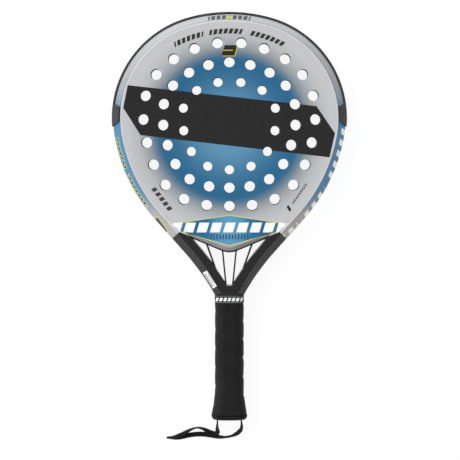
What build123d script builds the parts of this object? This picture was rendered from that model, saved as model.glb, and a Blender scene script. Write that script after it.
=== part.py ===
from build123d import *
import os
from math import atan2, cos, degrees, pi, radians, sin, tan

# Padel racket, in millimetres. It lies on its back: +Y runs from the handle to the crown of the
# head, +X across the head, +Z out of the front face. The origin is under the middle of the racket,
# on the surface that it lies on.

# ---------------------------------------------------------------- overall sizes
total_length = 452.0  # end of the butt cap to the crown of the bumper
head_width = 260.0  # over the bumper, at the widest point
thickness = 38.0  # over both faces

# ---------------------------------------------------------------- outline of the frame
crown_drop = 116.0  # crown of the frame down to its widest point
cheek_radius = 114.0
cheek_wrap = 9.0  # degrees that the cheek curve runs on below the widest point
jaw_radius = 182.0
jaw_angle = 41.7  # slope of the flanks, in degrees from the racket's axis
arm_radius = 266.0  # hollow curve of the two arms
arm_angle = 29.0  # slope of the arms where they reach the handle, in degrees
neck_radius = 12.0

# ---------------------------------------------------------------- frame, bridge and heart
tube_width = 16.5
tube_wall = 2.2
bevel_width = 8.5  # bevel round both faces, seen from the front
bevel_depth = 9.0  # the same bevel, seen from the side
bridge_width = 16.0
bridge_apex = -41.5  # lowest point of the bridge's two straight edges, if they met
bridge_rise = 22.7  # degrees
bridge_apex_radius = 23.0
bridge_bevel = 5.0
bridge_roof = 6.0  # from either face of the racket to the hollow of the bridge
heart_floor = -76.2
heart_corner_radius = 1.6
strut_width = 1.7
strut_depth = 22.0
struts = {"outer": (25.0, 19.6), "inner": (7.5, 5.7)}  # distance off the axis, lean in degrees

# ---------------------------------------------------------------- faces and core
skin_thickness = 1.5
core_clearance = 0.1
ring_drop = 123.3  # crown of the frame down to the middle of the hole rings
ring_edge_gap = 17.4  # inner edge of the frame tube to the outer ring
ring_pitch = 21.6
rings = (  # holes, first hole's angle from the crown, hole diameter, waves in the radius, in the angle
    (23, 180.0, 11.9, {2: -2.0, 3: -0.9, 4: -2.1, 5: 1.5}, {1: 0.54, 2: 0.46, 3: 0.23, 4: 0.3}),
    (20, 0.0, 11.8, {2: -1.9, 3: -1.2, 4: -1.7, 5: 1.1}, {1: 0.47, 2: 0.8, 3: 0.39, 4: 0.34}),
    (13, 180.0, 10.3, {2: -1.4, 3: -1.4, 4: -1.2, 5: 0.6}, {1: 0.8, 2: 0.8, 3: 0.57, 4: 0.3}),
)

# ---------------------------------------------------------------- bumper
bumper_thickness = 1.4
bumper_strip_height = 23.0
tab_reach = 7.6  # how far a tab covers the bevel, measured in from the frame's outline
tab_drop = 100.8  # crown of the frame down to the tab's upper edge
tab_length = 23.0
tab_corner = 5.5

# ---------------------------------------------------------------- handle
handle_core_width = 28.0
handle_core_thickness = 30.0
neck_thickness = 34.0  # of the frame where it runs into the collar band
taper_length = 42.0  # of the arms, from full thickness to neck_thickness
grip_side_layer = 1.85  # cushion grip on either side of the handle core
grip_face_layer = 2.0  # the same in front of it and behind it
grip_corner_radius = 11.0
band_side_layer = 2.2  # elastic band on either side of the handle core
band_face_layer = 0.4  # in front of the neck and behind it
band_corner_radius = 8.5
band_length = 8.7
band_lead = 6.3  # band's upper edge above the end of the neck curve
flare_length = 28.0
flare_waist = 13.0  # part of the flare that is only slightly wider than the grip
waist_side_swell = 1.35  # beyond the grip above it, on either side
waist_face_swell = 0.5
rim_side_swell = 4.05
rim_face_swell = 1.7
grip_layer = 1.9  # cushion grip where it covers the butt cap
cap_lap = 4.0  # of the butt cap's sleeve over the handle core
cap_end_length = 5.0  # part of the butt cap that the grip leaves open
cap_shoulder = (2.8, 0.9)  # along the open part and in from its side, where its rounding starts
cap_rounding = 4.6  # in from the side at the very end
cap_end_wall = 5.5
cap_wall = 1.0
core_end_gap = 8.0  # room for the strap's knots between the handle core and the cap's end wall
fit_clearance = 0.1

# ---------------------------------------------------------------- strap
strap_tube = 2.4  # stands in for the flat lace
strap_offset = 13.2  # of each strap end from the axis
strap_slot_width = 2.8
strap_slot_height = 6.2
knot_diameter = 5.0
knot_length = 5.0
knot_round = 1.6
strap_lead = 1.0  # straight run of each strap end beyond the butt
strap_route = [  # x, distance past the butt's end, z: out of the cap on the left, down to the fold,
    # left to the tip, back under the fold and up into the cap on the right
    (-13.5, -7.9, 15),
    (-13.1, -12.2, 10.4),
    (-12.9, -15.1, 7.4),
    (-14.5, -17.1, 5.4),
    (-17.7, -17.0, 4.6),
    (-23.0, -14.3, 3.8),
    (-28.8, -11.3, 3),
    (-35.3, -10.0, 2.2),
    (-41.8, -11.8, 2.4),
    (-48.2, -15.5, 3.4),
    (-55.4, -18.2, 4.6),
    (-63.3, -18.9, 5),
    (-67.7, -19.0, 5.1),
    (-69.4, -20.2, 4),
    (-69.4, -21.9, 2.4),
    (-67.8, -23.1, 1.25),
    (-63.4, -23.4, 1.2),
    (-55.0, -22.2, 1.2),
    (-45.9, -20.4, 1.2),
    (-36.8, -19.2, 1.2),
    (-27.2, -19.4, 1.2),
    (-18.2, -21.0, 1.2),
    (-10.1, -22.4, 1.2),
    (-2.2, -21.6, 1.2),
    (4.6, -19.5, 2),
    (9.7, -16.4, 5),
    (12.7, -12.4, 9.8),
    (13.6, -7.5, 14.8),
]

# ---------------------------------------------------------------- sticker
sticker_layer = 0.2
sticker_width = 5.4
sticker_length = 20.5
sticker_inset = 4.1  # of its middle line from the frame's outline
sticker_place = 0.685  # share of the way down the arm's hollow curve

# ---------------------------------------------------------------- places worked out from the sizes
crown_y = total_length / 2 - bumper_thickness
butt_y = -total_length / 2
mid_z = thickness / 2
head_half = head_width / 2 - bumper_thickness
widest_y = crown_y - crown_drop
crown_radius = (head_half**2 + crown_drop**2 - 2 * head_half * cheek_radius) / (
    2 * (crown_drop - cheek_radius)
)
crown_turn = degrees(atan2(head_half - cheek_radius, widest_y - crown_y + crown_radius))
ring_y = crown_y - ring_drop
rim_y = butt_y + cap_end_length
cap_floor_y = butt_y + cap_end_wall
handle_end_y = cap_floor_y + core_end_gap
grip_width = handle_core_width + 2 * grip_side_layer
grip_thickness_over = handle_core_thickness + 2 * grip_face_layer
band_width = handle_core_width + 2 * band_side_layer
band_thickness_over = neck_thickness + 2 * band_face_layer
waist_width = grip_width + 2 * waist_side_swell
waist_thickness_over = grip_thickness_over + 2 * waist_face_swell
rim_width = grip_width + 2 * rim_side_swell
rim_thickness_over = grip_thickness_over + 2 * rim_face_swell
far = 2 * total_length
middle_plane = Plane(origin=(0, 0, mid_z), x_dir=(0, 1, 0), z_dir=(1, 0, 0))

os.makedirs("parts", exist_ok=True)


def slope_span(start_angle, end_angle):
    """Change of the cosine and of the sine between two slopes given in degrees."""
    start = radians(start_angle)
    end = radians(end_angle)
    return cos(end) - cos(start), sin(start) - sin(end)


jaw_x = head_half - cheek_radius * (1 - cos(radians(cheek_wrap)))
jaw_x += jaw_radius * slope_span(cheek_wrap, jaw_angle)[0]
arm_x = arm_radius * slope_span(jaw_angle, arm_angle)[0]
neck_x = neck_radius * (1 - cos(radians(arm_angle)))
flank_length = (jaw_x - arm_x - neck_x - handle_core_width / 2) / sin(radians(jaw_angle))


def outline(inset):
    """Outline of head, arms and handle core, moved in by inset, with its neck's end and arm curve."""
    with BuildSketch() as area:
        with BuildLine():
            crown = JernArc((0, crown_y - inset), (1, 0), crown_radius - inset, -crown_turn)
            cheek_turn = crown_turn - 90 - cheek_wrap
            cheek = JernArc(crown @ 1, crown % 1, cheek_radius - inset, cheek_turn)
            jaw = JernArc(cheek @ 1, cheek % 1, jaw_radius - inset, cheek_wrap - jaw_angle)
            flank = Line(jaw @ 1, jaw @ 1 + (jaw % 1) * flank_length)
            arm = JernArc(flank @ 1, flank % 1, arm_radius + inset, jaw_angle - arm_angle)
            neck = JernArc(arm @ 1, arm % 1, neck_radius + inset, arm_angle)
            side_x = handle_core_width / 2 - inset
            floor_y = handle_end_y + inset
            Polyline(neck @ 1, (side_x, floor_y), (-far, floor_y), (-far, far), (0, far), crown @ 0)
        make_face()
        mirror(about=Plane.YZ, mode=Mode.INTERSECT)
    return area.sketch, neck @ 1, arm


frame_outline, neck_end, arm_curve = outline(0)
neck_y = neck_end.Y
band_top_y = neck_y + band_lead
grip_top_y = band_top_y - band_length


def racket_form(inset):
    """Closed outer form of head, arms and handle core, with its bevels, moved in by inset."""
    with BuildPart() as form:
        with BuildSketch(Plane.XY.offset(inset)):
            add(outline(inset)[0])
        extrude(amount=thickness - 2 * inset)
        for face in form.faces().filter_by(Axis.Z):
            chamfer(face.edges(), bevel_width, bevel_depth, reference=face)
        with BuildSketch(middle_plane):
            with BuildLine():
                rise = Polyline(
                    (far, 0),
                    (far, mid_z - inset),
                    (band_top_y + taper_length, mid_z - inset),
                    (band_top_y, neck_thickness / 2 - inset),
                    (grip_top_y, handle_core_thickness / 2 - inset),
                    (-far, handle_core_thickness / 2 - inset),
                    (-far, 0),
                )
                mirror(about=Plane.XZ)
            make_face()
        extrude(amount=far, both=True, mode=Mode.INTERSECT)
    return form.part


def chevron(inset):
    """Everything above the bridge's two sloping edges, moved in by inset."""
    with BuildSketch() as area:
        with BuildLine():
            Polyline(
                (0, bridge_apex),
                (far, bridge_apex + far * tan(radians(bridge_rise))),
                (far, 2 * far),
                (-far, 2 * far),
                (-far, bridge_apex + far * tan(radians(bridge_rise))),
                close=True,
            )
        make_face()
        fillet(area.vertices().sort_by(Axis.Y)[0], bridge_apex_radius)
        if inset:
            offset(amount=-inset, kind=Kind.INTERSECTION)
    return area.sketch


def inside_tube(inset):
    """Everything that the frame tube goes round: core, bridge and heart, moved in by inset."""
    with BuildSketch() as area:
        add(outline(tube_width + inset)[0])
        with Locations((0, heart_floor + inset)):
            Rectangle(far, far, align=(Align.CENTER, Align.MIN), mode=Mode.INTERSECT)
        shortest_side = min(edge.length for edge in area.edges())
        floor_corners = area.vertices().group_by(Axis.Y)[0]
        fillet(floor_corners, min(heart_corner_radius, shortest_side))
    return area.sketch


def ring_holes():
    """The holes of all rings, as circles."""
    core_half = head_half - tube_width
    with BuildSketch() as area:
        for number, (count, first, diameter, waves, turns) in enumerate(rings):
            mean_radius = core_half - ring_edge_gap - number * ring_pitch
            for step in range(count):
                angle = radians(first + step * 360 / count)
                radius = mean_radius + sum(size * cos(n * angle) for n, size in waves.items())
                angle += radians(sum(size * sin(n * angle) for n, size in turns.items()))
                with Locations((radius * sin(angle), ring_y + radius * cos(angle))):
                    Circle(diameter / 2)
    return area.sketch


def handle_section(y, width, height, corner_radius=grip_corner_radius):
    """Rounded outline across the handle at one place along it, facing the butt."""
    with BuildSketch(Plane(origin=(0, y, mid_z), x_dir=(1, 0, 0), z_dir=(0, -1, 0))) as area:
        RectangleRounded(width, height, corner_radius)
    return area.sketch


def flare(inset, top_y):
    """Solid that widens towards the rim of the butt, moved in by inset and cut off at top_y."""
    sections = [
        (rim_y + flare_length, grip_width, grip_thickness_over),
        (rim_y + flare_length - flare_waist, waist_width, waist_thickness_over),
        (rim_y, rim_width, rim_thickness_over),
    ]
    with BuildPart() as solid:
        for y, width, height in sections:
            corner_radius = grip_corner_radius - inset
            add(handle_section(y, width - 2 * inset, height - 2 * inset, corner_radius))
        loft()
        with BuildSketch():
            with Locations((0, top_y)):
                Rectangle(far, far, align=(Align.CENTER, Align.MAX))
        extrude(amount=thickness, mode=Mode.INTERSECT)
    return solid.part


form = racket_form(0)
room_form = racket_form(-fit_clearance)
bridge_top = chevron(bridge_width)
faces_area = chevron(bridge_bevel)
holes = ring_holes()


def finish(part, name):
    """Labels a finished piece and writes its file."""
    part.label = name
    export_step(part, f"parts/{name}.step")


# ---------------------------------------------------------------- faces
def skin(base_z):
    """One face of the racket, with its holes; its edge carries on the frame's bevel."""
    with BuildPart() as plate:
        with BuildSketch(Plane.XY.offset(base_z)):
            add(faces_area)
            add(holes, mode=Mode.SUBTRACT)
        extrude(amount=skin_thickness)
        add(form, mode=Mode.INTERSECT)
    return plate.part


finish(skin(thickness - skin_thickness), "front_face")
finish(skin(0), "back_face")

# ---------------------------------------------------------------- frame tube
with BuildPart() as channel:
    add(racket_form(tube_wall))
    with BuildSketch():
        add(inside_tube(-tube_wall))
    extrude(amount=thickness, mode=Mode.SUBTRACT)

with BuildPart() as frame_tube:
    add(form)
    with BuildSketch():
        add(inside_tube(0))
    extrude(amount=thickness, mode=Mode.SUBTRACT)
    add(channel.part, mode=Mode.SUBTRACT)
    for base_z in (0, thickness - skin_thickness):
        with BuildSketch(Plane.XY.offset(base_z)):
            add(faces_area)
        extrude(amount=skin_thickness, mode=Mode.SUBTRACT)
finish(frame_tube.part, "frame_tube")

# ---------------------------------------------------------------- bridge tube
with BuildPart() as bridge_tube:
    with BuildSketch():
        add(chevron(0))
    extrude(amount=thickness)
    for face in bridge_tube.faces().filter_by(Axis.Z):
        chamfer(face.edges().sort_by(Axis.Y)[:3], bridge_bevel)
    with BuildSketch():
        add(inside_tube(0))
        add(bridge_top, mode=Mode.SUBTRACT)
    extrude(amount=thickness, mode=Mode.INTERSECT)
    with BuildSketch(Plane.XY.offset(bridge_roof)):
        add(inside_tube(tube_wall))
        add(chevron(tube_wall), mode=Mode.INTERSECT)
        add(chevron(bridge_width - tube_wall), mode=Mode.SUBTRACT)
    extrude(amount=thickness - 2 * bridge_roof, mode=Mode.SUBTRACT)
    for base_z in (0, thickness - skin_thickness):
        with BuildSketch(Plane.XY.offset(base_z)):
            add(faces_area)
        extrude(amount=skin_thickness, mode=Mode.SUBTRACT)
finish(bridge_tube.part, "bridge_tube")

# ---------------------------------------------------------------- foam core
with BuildPart() as foam_core:
    with BuildSketch(Plane.XY.offset(skin_thickness)):
        add(inside_tube(core_clearance))
        add(chevron(bridge_width + core_clearance), mode=Mode.INTERSECT)
        add(holes, mode=Mode.SUBTRACT)
    extrude(amount=thickness - 2 * skin_thickness)
finish(foam_core.part, "foam_core")

# ---------------------------------------------------------------- struts across the heart
heart_length = bridge_apex - heart_floor
for side_name, side in (("left", -1), ("right", 1)):
    for strut_name, (reach, lean) in struts.items():
        foot = (side * reach, bridge_apex + reach * tan(radians(bridge_rise)))
        with BuildPart() as strut:
            with BuildSketch(Plane.XY.offset(mid_z - strut_depth / 2)):
                with Locations(Location(foot, -side * lean)):
                    Rectangle(strut_width, 3 * heart_length)
                add(inside_tube(0), mode=Mode.INTERSECT)
                add(chevron(0), mode=Mode.SUBTRACT)
            extrude(amount=strut_depth)
        finish(strut.part, f"throat_strut_{side_name}_{strut_name}")

# ---------------------------------------------------------------- bumper round the crown
bumper_room = racket_form(-bumper_thickness)
tab_y = crown_y - tab_drop
with BuildPart() as head_bumper:
    with BuildSketch(Plane.XY.offset(mid_z - bumper_strip_height / 2)):
        with Locations((0, tab_y - tab_length / 2)):
            Rectangle(far, far, align=(Align.CENTER, Align.MIN))
    extrude(amount=bumper_strip_height)
    for side in (-1, 1):
        with BuildSketch():
            outer_x = side * (head_half + 2 * bumper_thickness)
            inner_x = side * (head_half - tab_reach)
            with BuildLine():
                Polyline(
                    (outer_x, tab_y + tab_corner / 2),
                    (inner_x, tab_y - tab_corner / 2),
                    (inner_x, tab_y - tab_length + tab_corner),
                    (outer_x, tab_y - tab_length - tab_corner / 2),
                    close=True,
                )
            make_face()
        extrude(amount=thickness)
    add(bumper_room, mode=Mode.INTERSECT)
    add(form, mode=Mode.SUBTRACT)
finish(head_bumper.part, "head_bumper")

# ---------------------------------------------------------------- handle
with BuildPart() as handle_foam:
    add(racket_form(tube_wall + core_clearance))
    with BuildSketch():
        with Locations((0, neck_y)):
            Rectangle(far, far, align=(Align.CENTER, Align.MAX))
    extrude(amount=thickness, mode=Mode.INTERSECT)
finish(handle_foam.part, "handle_foam")

with BuildPart() as cap_end:
    for along, inset in ((0, 0), cap_shoulder, (cap_end_length, cap_rounding)):
        add(handle_section(rim_y - along, rim_width - 2 * inset, rim_thickness_over - 2 * inset))
    loft()

with BuildPart() as knot_room:
    add(flare(grip_layer + cap_wall, handle_end_y))
    with BuildSketch():
        with Locations((0, cap_floor_y)):
            Rectangle(far, core_end_gap, align=(Align.CENTER, Align.MIN))
    extrude(amount=thickness, mode=Mode.INTERSECT)

cap_sleeve = flare(grip_layer, handle_end_y + cap_lap)
with BuildPart() as butt_cap:
    add(cap_sleeve)
    add(cap_end.part)
    add(room_form, mode=Mode.SUBTRACT)
    add(knot_room.part, mode=Mode.SUBTRACT)
    with BuildSketch(Plane(origin=(0, handle_end_y, mid_z), x_dir=(1, 0, 0), z_dir=(0, -1, 0))):
        with Locations((-strap_offset, 0), (strap_offset, 0)):
            Rectangle(strap_slot_width, strap_slot_height)
    extrude(amount=far, mode=Mode.SUBTRACT)
finish(butt_cap.part, "butt_cap")

with BuildPart() as cushion_grip:
    add(handle_section(grip_top_y, grip_width, grip_thickness_over))
    extrude(amount=grip_top_y - rim_y - flare_length, dir=(0, -1, 0))
    add(flare(0, rim_y + flare_length))
    add(cap_sleeve, mode=Mode.SUBTRACT)
    add(room_form, mode=Mode.SUBTRACT)
finish(cushion_grip.part, "cushion_grip")

with BuildPart() as collar_band:
    add(handle_section(band_top_y, band_width, band_thickness_over, band_corner_radius))
    extrude(amount=band_length, dir=(0, -1, 0))
    add(room_form, mode=Mode.SUBTRACT)
finish(collar_band.part, "collar_band")

# ---------------------------------------------------------------- strap and its knots
for side_name, side in (("left", -1), ("right", 1)):
    knot_plane = Plane(origin=(side * strap_offset, cap_floor_y, mid_z), z_dir=(0, 1, 0))
    with BuildPart() as knot:
        with BuildSketch(knot_plane):
            Circle(knot_diameter / 2)
        extrude(amount=knot_length)
        fillet(knot.edges().filter_by(GeomType.CIRCLE), knot_round)
    finish(knot.part, f"strap_knot_{side_name}")

strap_points = [Vector(-strap_offset, y, mid_z) for y in (cap_floor_y, butt_y - strap_lead)]
strap_points += [Vector(x, butt_y + past, z) for x, past, z in strap_route]
strap_points += [Vector(strap_offset, y, mid_z) for y in (butt_y - strap_lead, cap_floor_y)]
strap_radii = []
for before, corner, after in zip(strap_points, strap_points[1:], strap_points[2:]):
    turn = (corner - before).get_angle(after - corner)
    shorter_run = min((corner - before).length, (after - corner).length)
    strap_radii.append(0.45 * shorter_run / tan(radians(turn / 2)))

with BuildPart() as wrist_strap:
    with BuildLine():
        strap_path = FilletPolyline(*strap_points, radius=strap_radii)
    with BuildSketch(Plane(origin=strap_points[0], z_dir=(0, -1, 0))):
        Circle(strap_tube / 2)
    sweep(path=strap_path)
finish(wrist_strap.part, "wrist_strap")
print("strap radii", [round(radius, 1) for radius in strap_radii])
print("strap length", round(strap_path.length, 1))
print("strap volume", round(wrist_strap.part.volume, 1))
print("section times length", round(pi * strap_tube**2 / 4 * strap_path.length, 1))

# ---------------------------------------------------------------- inspection sticker
sticker_spot = arm_curve @ sticker_place
sticker_run = arm_curve % sticker_place
sticker_turn = degrees(atan2(sticker_run.Y, -sticker_run.X))
sticker_middle = Vector(-sticker_spot.X, sticker_spot.Y) + Vector(
    -sticker_run.Y, -sticker_run.X
) * sticker_inset
with BuildPart() as inspection_sticker:
    add(racket_form(-sticker_layer))
    add(form, mode=Mode.SUBTRACT)
    with BuildSketch(Plane.XY.offset(mid_z)):
        with Locations(Location(sticker_middle, sticker_turn)):
            Rectangle(sticker_length, sticker_width)
    extrude(amount=thickness, mode=Mode.INTERSECT)
finish(inspection_sticker.part, "inspection_sticker")
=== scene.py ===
"""Finishes a packed padel racket: paint, print, wound grip, woven wrist strap and a studio."""

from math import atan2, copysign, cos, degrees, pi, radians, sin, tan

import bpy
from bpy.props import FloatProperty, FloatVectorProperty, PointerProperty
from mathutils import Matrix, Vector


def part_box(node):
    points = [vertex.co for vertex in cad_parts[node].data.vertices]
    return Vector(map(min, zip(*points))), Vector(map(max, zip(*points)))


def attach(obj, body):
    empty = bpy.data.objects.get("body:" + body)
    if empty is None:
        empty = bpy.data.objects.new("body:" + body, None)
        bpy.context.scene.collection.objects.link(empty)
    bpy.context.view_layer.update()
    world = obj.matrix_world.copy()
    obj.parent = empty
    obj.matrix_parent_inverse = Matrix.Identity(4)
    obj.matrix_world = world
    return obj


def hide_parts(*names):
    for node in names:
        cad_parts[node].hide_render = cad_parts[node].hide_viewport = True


bl_info = {
    "name": "Padel Racket",
    "version": (1, 0, 0),
    "blender": (4, 5, 0),
    "location": "3D View > Sidebar > Padel Racket",
    "description": "Finishes a packed padel racket and builds its grip, strap and studio",
    "category": "Object",
}

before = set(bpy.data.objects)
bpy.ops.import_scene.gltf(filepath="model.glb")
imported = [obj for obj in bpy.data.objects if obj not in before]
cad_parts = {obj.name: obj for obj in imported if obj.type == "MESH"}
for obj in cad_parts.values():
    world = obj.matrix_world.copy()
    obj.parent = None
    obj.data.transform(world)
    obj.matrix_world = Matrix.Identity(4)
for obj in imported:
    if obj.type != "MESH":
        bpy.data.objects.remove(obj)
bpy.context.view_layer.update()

MM = 0.001  # turns millimetres to metres
WAVE = 1 / 3.2  # a wave texture of this scale has about one crest to a unit
BODY = "root"


def linear(hex_colour):
    """Linear red, green, blue and an alpha of 1 from an sRGB hex value."""
    shares = [int(hex_colour[place : place + 2], 16) / 255 for place in (1, 3, 5)]
    return [s / 12.92 if s <= 0.04045 else ((s + 0.055) / 1.055) ** 2.4 for s in shares] + [1.0]


def colour(name, hex_colour, description):
    """A colour that the user can change, with its default as an sRGB hex value."""
    return FloatVectorProperty(
        name=name, description=description, subtype="COLOR", size=4, min=0, max=1,
        default=linear(hex_colour),
    )


def length(name, millimetres, description):
    """A length that the user can change, with its default in millimetres."""
    return FloatProperty(
        name=name, description=description, subtype="DISTANCE", unit="LENGTH",
        default=millimetres * MM, precision=5,
    )


# ---------------------------------------------------------------- what a user would change
class RacketPaint(bpy.types.PropertyGroup):
    """Colours of the paint and the print"""

    silver: colour("Silver", "#c6c6c7", "Metallic base coat of the head")
    sky: colour("Sky blue", "#5b93b4", "Middle of the sprayed disc")
    steel: colour("Steel blue", "#18628a", "Rim of the sprayed disc")
    haze: colour("Haze", "#8d969b", "Where the disc's spray fades out")
    rail: colour("Rail blue", "#4682ab", "Sides of the frame")
    black: colour("Black", "#151516", "Carbon under clear lacquer, and the black print")
    lime: colour("Lime", "#d3d772", "Thin outlines of the print")
    white: colour("White", "#fdfdfd", "White print")


class RacketGrip(bpy.types.PropertyGroup):
    """Sizes and colour of the wound grip"""

    width: length("Width", 31.7, "Handle over its grip, from side to side")
    depth: length("Depth", 34.0, "Handle over its grip, from front to back")
    corner: length("Corner", 11.0, "Radius of the handle's corners")
    tape_pitch: length("Tape pitch", 20.6, "From one turn of the tape to the next")
    lap_dip: length("Lap dip", 0.95, "How far the tape sinks in beside its laps")
    tape: colour("Tape", "#151516", "Cushion grip")


class RacketStrap(bpy.types.PropertyGroup):
    """Sizes and colour of the wrist strap's lace"""

    width: length("Width", 5.5, "Across the flat lace")
    thickness: length("Thickness", 1.4, "Through the flat lace")
    thread: length("Thread", 0.9, "From one thread of the weave to the next")
    yarn: colour("Yarn", "#101011", "Polyester yarn")


class RacketStage(bpy.types.PropertyGroup):
    """Camera, floor and light"""

    camera_height: length("Camera height", 3200.0, "Camera above the floor")
    view_width: length("View width", 508.9, "What the camera takes in, at the racket")
    paper: colour("Paper", "#fbfbfb", "Lit paper floor")
    key: FloatProperty(name="Key light", description="Strength of the key light", default=1.5)


PROPERTY_GROUPS = {
    "racket_paint": RacketPaint,
    "racket_grip": RacketGrip,
    "racket_strap": RacketStrap,
    "racket_stage": RacketStage,
}


# ---------------------------------------------------------------- nodes
def output_of(value):
    """The first socket in use of a node; anything else is given back as it is."""
    if isinstance(value, bpy.types.Node):
        return next(socket for socket in value.outputs if socket.enabled)
    return value


def add_node(tree, kind, inputs=None, **settings):
    """Adds a node with its settings, and links or sets the inputs that are given."""
    node = tree.nodes.new("ShaderNode" + kind)
    for name, value in settings.items():
        setattr(node, name, value)
    for place, value in (inputs or {}).items():
        value = output_of(value)
        if isinstance(value, bpy.types.NodeSocket):
            tree.links.new(value, node.inputs[place])
        else:
            node.inputs[place].default_value = value
    return node


def new_material(name, **shader_values):
    """A material with one Principled shader, whose fixed values are set on its own sockets."""
    material = bpy.data.materials.new(name)
    material.use_nodes = True
    tree = material.node_tree
    tree.nodes.clear()
    shader = add_node(tree, "BsdfPrincipled")
    for socket, value in shader_values.items():
        shader.inputs[socket.replace("_", " ")].default_value = value
    add_node(tree, "OutputMaterial", {"Surface": shader})
    return material, tree, shader


def place_on(tree):
    """Where each point of the surface lies in the racket's frame, in millimetres."""
    spot = add_node(tree, "TexCoord")
    return add_node(
        tree, "VectorMath", {0: spot.outputs["Object"], "Scale": 1 / MM}, operation="SCALE"
    )


def finish_surface(tree, shader, base, roughness, height=None, depth=0.0, edge=0.0):
    """Links colour and roughness, and a normal with edges eased by edge and relief of depth."""
    links = tree.links
    links.new(output_of(base), shader.inputs["Base Color"])
    links.new(output_of(roughness), shader.inputs["Roughness"])
    normal = add_node(tree, "Bevel", {"Radius": edge * MM}, samples=6) if edge else None
    if height is not None:
        relief = {"Height": height, "Distance": depth * MM, "Strength": 1.0}
        if normal:
            relief["Normal"] = normal
        normal = add_node(tree, "Bump", relief)
    if normal:
        links.new(normal.outputs[0], shader.inputs["Normal"])


def grain(tree, place, spacing, low, high, detail=3.0):
    """A value from low to high that wanders, with spots about spacing millimetres apart."""
    spots = add_node(tree, "TexNoise", {"Vector": place, "Scale": 1 / spacing, "Detail": detail})
    return add_node(
        tree, "MapRange",
        {"Value": spots, "From Min": 0.3, "From Max": 0.7, "To Min": low, "To Max": high},
    )


def shaded(tree, base, *amounts):
    """The base colour made lighter or darker by values that are 1 where nothing changes."""
    for amount in amounts:
        base = add_node(tree, "VectorMath", {0: base, "Scale": amount}, operation="SCALE")
    return base


def left_of(tree, place, start, end):
    """How far a point lies to the left of the line from start to end, in millimetres."""
    run = Vector(end) - Vector(start)
    across = Vector((-run.y, run.x, 0)).normalized()
    along = add_node(tree, "VectorMath", {0: place, 1: across}, operation="DOT_PRODUCT")
    offset = across.x * start[0] + across.y * start[1]
    return add_node(tree, "Math", {0: along, 1: offset}, operation="SUBTRACT")


def inside_all(tree, depths):
    """How far a point lies inside all of several edges."""
    inside = depths[0]
    for depth in depths[1:]:
        inside = add_node(tree, "Math", {0: inside, 1: depth}, operation="MINIMUM")
    return inside


def patch(tree, place, corners):
    """How far a point lies inside a convex patch whose corners go anticlockwise."""
    sides = zip(corners, corners[1:] + corners[:1])
    return inside_all(tree, [left_of(tree, place, start, end) for start, end in sides])


def round_place(tree, place, centre, radius):
    """Place along a circle clockwise from its top, and outwards from it, in millimetres."""
    moved = add_node(tree, "VectorMath", {0: place, 1: (*centre, 0)}, operation="SUBTRACT")
    parts = add_node(tree, "SeparateXYZ", {0: moved})
    flat = add_node(tree, "VectorMath", {0: moved, 1: (1, 1, 0)}, operation="MULTIPLY")
    reach = add_node(tree, "VectorMath", {0: flat}, operation="LENGTH")
    turn = add_node(
        tree, "Math", {0: parts.outputs["X"], 1: parts.outputs["Y"]}, operation="ARCTAN2"
    )
    along = add_node(tree, "Math", {0: turn, 1: radius}, operation="MULTIPLY")
    outward = add_node(tree, "Math", {0: reach, 1: radius}, operation="SUBTRACT")
    return add_node(tree, "CombineXYZ", {0: along, 1: outward})


def bars(tree, place, centre, turn, size, pitch, width, slant=0.0):
    """How far a point lies inside one of a row of slanted bars; size is the whole row's."""
    local = add_node(
        tree, "Mapping",
        {"Vector": place, "Location": (*centre, 0), "Rotation": (0, 0, radians(turn))},
        vector_type="TEXTURE",
    )
    parts = add_node(tree, "SeparateXYZ", {0: local})
    lean = add_node(
        tree, "Math", {0: parts.outputs["Y"], 1: -slant, 2: parts.outputs["X"]},
        operation="MULTIPLY_ADD",
    )
    beat = add_node(tree, "Math", {0: lean, 1: pitch / 2}, operation="PINGPONG")
    depths = [add_node(tree, "Math", {0: width / 2, 1: beat}, operation="SUBTRACT")]
    for value, reach in ((lean, size[0]), (parts.outputs["Y"], size[1])):
        away = add_node(tree, "Math", {0: value}, operation="ABSOLUTE")
        depths.append(add_node(tree, "Math", {0: reach / 2, 1: away}, operation="SUBTRACT"))
    return inside_all(tree, depths)


def printed(tree, base, ink, inside, soft=0.2, start=0.0):
    """Ink laid over the base where inside is above start, with an edge that is soft wide."""
    cover = add_node(
        tree, "MapRange",
        {"Value": inside, "From Min": start - soft / 2, "From Max": start + soft / 2},
    )
    return add_node(tree, "Mix", {0: cover, 6: base, 7: ink}, data_type="RGBA")


def sprayed(tree, value, stops):
    """Colour that changes with a value in millimetres, smoothly from each stop to the next."""
    low, high = stops[0][0], stops[-1][0]
    share = add_node(tree, "MapRange", {"Value": value, "From Min": low, "From Max": high})
    blend = add_node(tree, "ValToRGB", {"Fac": share})
    elements = blend.color_ramp.elements
    while len(elements) < len(stops):
        elements.new(1.0)
    for element, (spot, tone) in zip(elements, stops):
        element.position = (spot - low) / (high - low)
        element.color = tone
    return blend


def mixed(first, second, share):
    """A colour between two others."""
    return [a + (b - a) * share for a, b in zip(first, second)]


def dress(material, *names):
    """Gives CAD nodes their material."""
    for name in names:
        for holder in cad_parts[name].material_slots:
            holder.material = material


# ---------------------------------------------------------------- stage
CAMERA_Y = 0.085  # metres: the camera stands over this line across the head
AIM = (0.0007, -0.0149, 0.030)  # metres: middle of the view, at the height of the front face
SENSOR = 36.0  # width of the camera's sensor in millimetres
FLOOR_REACH = 15.0  # metres each way
FLOOR_GAP = 0.2 * MM  # keeps the racket's back face from lying in the paper
KEY_FROM = (-0.5, 0.42, 0.76)  # direction of the key light
KEY_SPREAD = 35.0  # degrees that the key light fills
PAPER_GLOW, PAPER_BOUNCE = 0.95, 0.12  # light from behind the paper, and what it gives back
SOFT_ALL, SOFT_SIDE, SOFT_TOP_END = 0.45, 0.42, 0.12  # soft light all round, and more low down


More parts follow.
